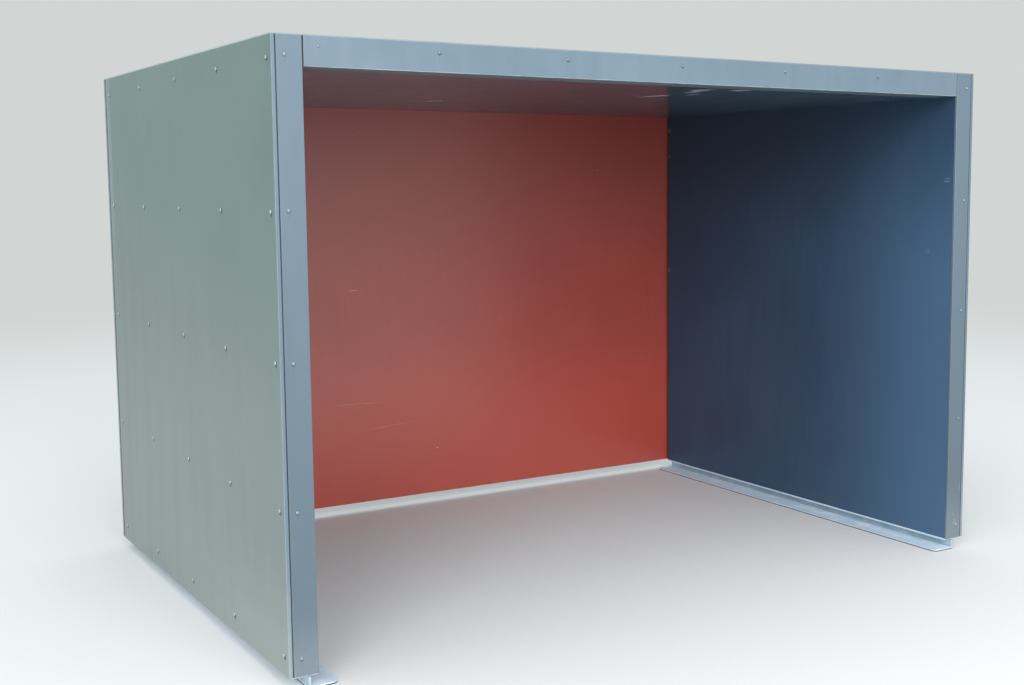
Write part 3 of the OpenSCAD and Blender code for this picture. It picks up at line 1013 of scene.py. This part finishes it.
for name, y, seed in (("front_trim_screws", -acrossLine, 11), ("rear_trim_screws", acrossLine, 12)):
    setScrews(name, paintedHighlight, (firstAcross, y, trimTop), (1, 0, 0), (0, 1, 0),
              trimRows["across"], 1, trimRows["pitch"], 1.0, seed, trimScrewSize)
for name, x, seed in (("left_trim_screws", -alongLine, 13), ("right_trim_screws", alongLine, 14)):
    setScrews(name, paintedHighlight, (x, firstAlong, trimTop), (0, 1, 0), (-1, 0, 0),
              trimRows["along"], 1, trimRows["pitch"], 1.0, seed, trimScrewSize)
bpy.data.objects.remove(headObject)
print("screws set")


# Camera, floor, backdrop and light

shot = {
    "place": (-2.869, frontFace - 3.828, 1.554), "yaw": 32.98, "pitch": -6.19, "roll": -0.27,
    "lens": 46.87, "shift": (-0.0785, -0.0135), "clip": (0.1, 200),
}


def addCamera():
    data = bpy.data.cameras.new("photoView")
    data.lens = shot["lens"]
    data.shift_x, data.shift_y = shot["shift"]
    data.clip_start, data.clip_end = shot["clip"]
    camera = addObject("photoView", data)
    turn = Matrix.Rotation(-math.radians(shot["yaw"]), 4, "Z")
    turn = turn @ Matrix.Rotation(math.radians(90 + shot["pitch"]), 4, "X")
    turn = turn @ Matrix.Rotation(math.radians(shot["roll"]), 4, "Z")
    camera.matrix_world = Matrix.Translation(shot["place"]) @ turn
    bpy.context.scene.camera = camera


stage = {
    "floorRadius": 60.0, "floor": (0.78, 0.79, 0.79, 1), "grain": (0.3, 0.3, 0.3, 1),
    "finish": {"Roughness": 0.9, "Specular IOR Level": 0.1},
    "backdrop": (0.64, 0.67, 0.655, 1), "fadeFrom": 3.0, "fadeTo": 13.0,
    "lightColour": (0.94, 0.975, 1.0, 1), "baseLight": 0.12, "overheadLight": 0.90, "frontLight": 0.80,
    "overheadFrom": 0.9, "frontDirection": (-0.72, -0.64, 0.26),
}


# Rays that see the backdrop itself: straight from the camera, mirrored or through glass
def seenRays(tree):
    rays = addNode(tree, "ShaderNodeLightPath").outputs
    seen = calc(tree, "MAXIMUM", rays["Is Camera Ray"], rays["Is Glossy Ray"])
    return calc(tree, "MAXIMUM", seen, rays["Is Transmission Ray"])


def addFloor():
    mesh = bmesh.new()
    bmesh.ops.create_circle(mesh, cap_ends=True, segments=96, radius=stage["floorRadius"])
    material, tree, shader, place = startMaterial("floorPaint", stage["finish"])
    grain = fade(tree, cloud(tree, place, 90.0, 4.0, 0.7), 0.3, 0.7, 0.0, 0.05)
    feed(tree, shader.inputs["Base Color"], blendColour(tree, grain, stage["floor"], stage["grain"]))
    away = vectorCalc(tree, "LENGTH", place, output=1)
    far = times(tree, fade(tree, away, stage["fadeFrom"], stage["fadeTo"]), seenRays(tree))
    glow = addNode(tree, "ShaderNodeEmission", {"Color": stage["backdrop"], "Strength": 1.0}).outputs[0]
    mixed = addNode(tree, "ShaderNodeMixShader", {0: far, 1: shader.outputs[0], 2: glow})
    feed(tree, tree.nodes["Material Output"].inputs[0], mixed.outputs[0])
    floor = meshObject("studioFloor", mesh, material)


def addWorld():
    world = bpy.data.worlds.new("studioLight")
    bpy.context.scene.world = world
    world.use_nodes = True
    tree = world.node_tree
    tree.nodes.clear()
    toward = addNode(tree, "ShaderNodeTexCoord").outputs["Generated"]
    height = split(tree, toward)[2]
    lowest, highest = stage["baseLight"], stage["baseLight"] + stage["overheadLight"]
    overhead = fade(tree, height, 0.0, stage["overheadFrom"], lowest, highest)
    ahead = vectorCalc(tree, "DOT_PRODUCT", toward, stage["frontDirection"], output=1)
    level = calc(tree, "ADD", overhead, fade(tree, ahead, 0.0, 1.0, 0.0, stage["frontLight"]))
    dome = addNode(tree, "ShaderNodeBackground", {"Color": stage["lightColour"], "Strength": level})
    shown = addNode(tree, "ShaderNodeBackground", {"Color": stage["backdrop"], "Strength": 1.0})
    inputs = {0: seenRays(tree), 1: dome.outputs[0], 2: shown.outputs[0]}
    mixed = addNode(tree, "ShaderNodeMixShader", inputs)
    addNode(tree, "ShaderNodeOutputWorld", {0: mixed.outputs[0]})


lamps = {
    "front": {"place": (-1.2, -9.0, 4.4), "aim": (0.0, 0.0, 0.8), "size": 5.0, "power": 400.0},
    "side": {"place": (-8.0, -8.7, 5.6), "aim": (0.5, 0.0, 0.6), "size": 5.0, "power": 450.0},
}


def addLamps():
    for name, look in lamps.items():
        data = bpy.data.lights.new(name, "AREA")
        data.shape = "SQUARE"
        data.size = look["size"]
        data.energy = look["power"]
        lamp = addObject(name, data)
        lamp.location = look["place"]
        aim = Vector(look["aim"]) - Vector(look["place"])
        lamp.rotation_euler = aim.to_track_quat("-Z", "Y").to_euler()


addCamera()
addFloor()
addWorld()
addLamps()
bpy.context.scene.view_settings.view_transform = "Standard"
print("camera, floor and light ready")
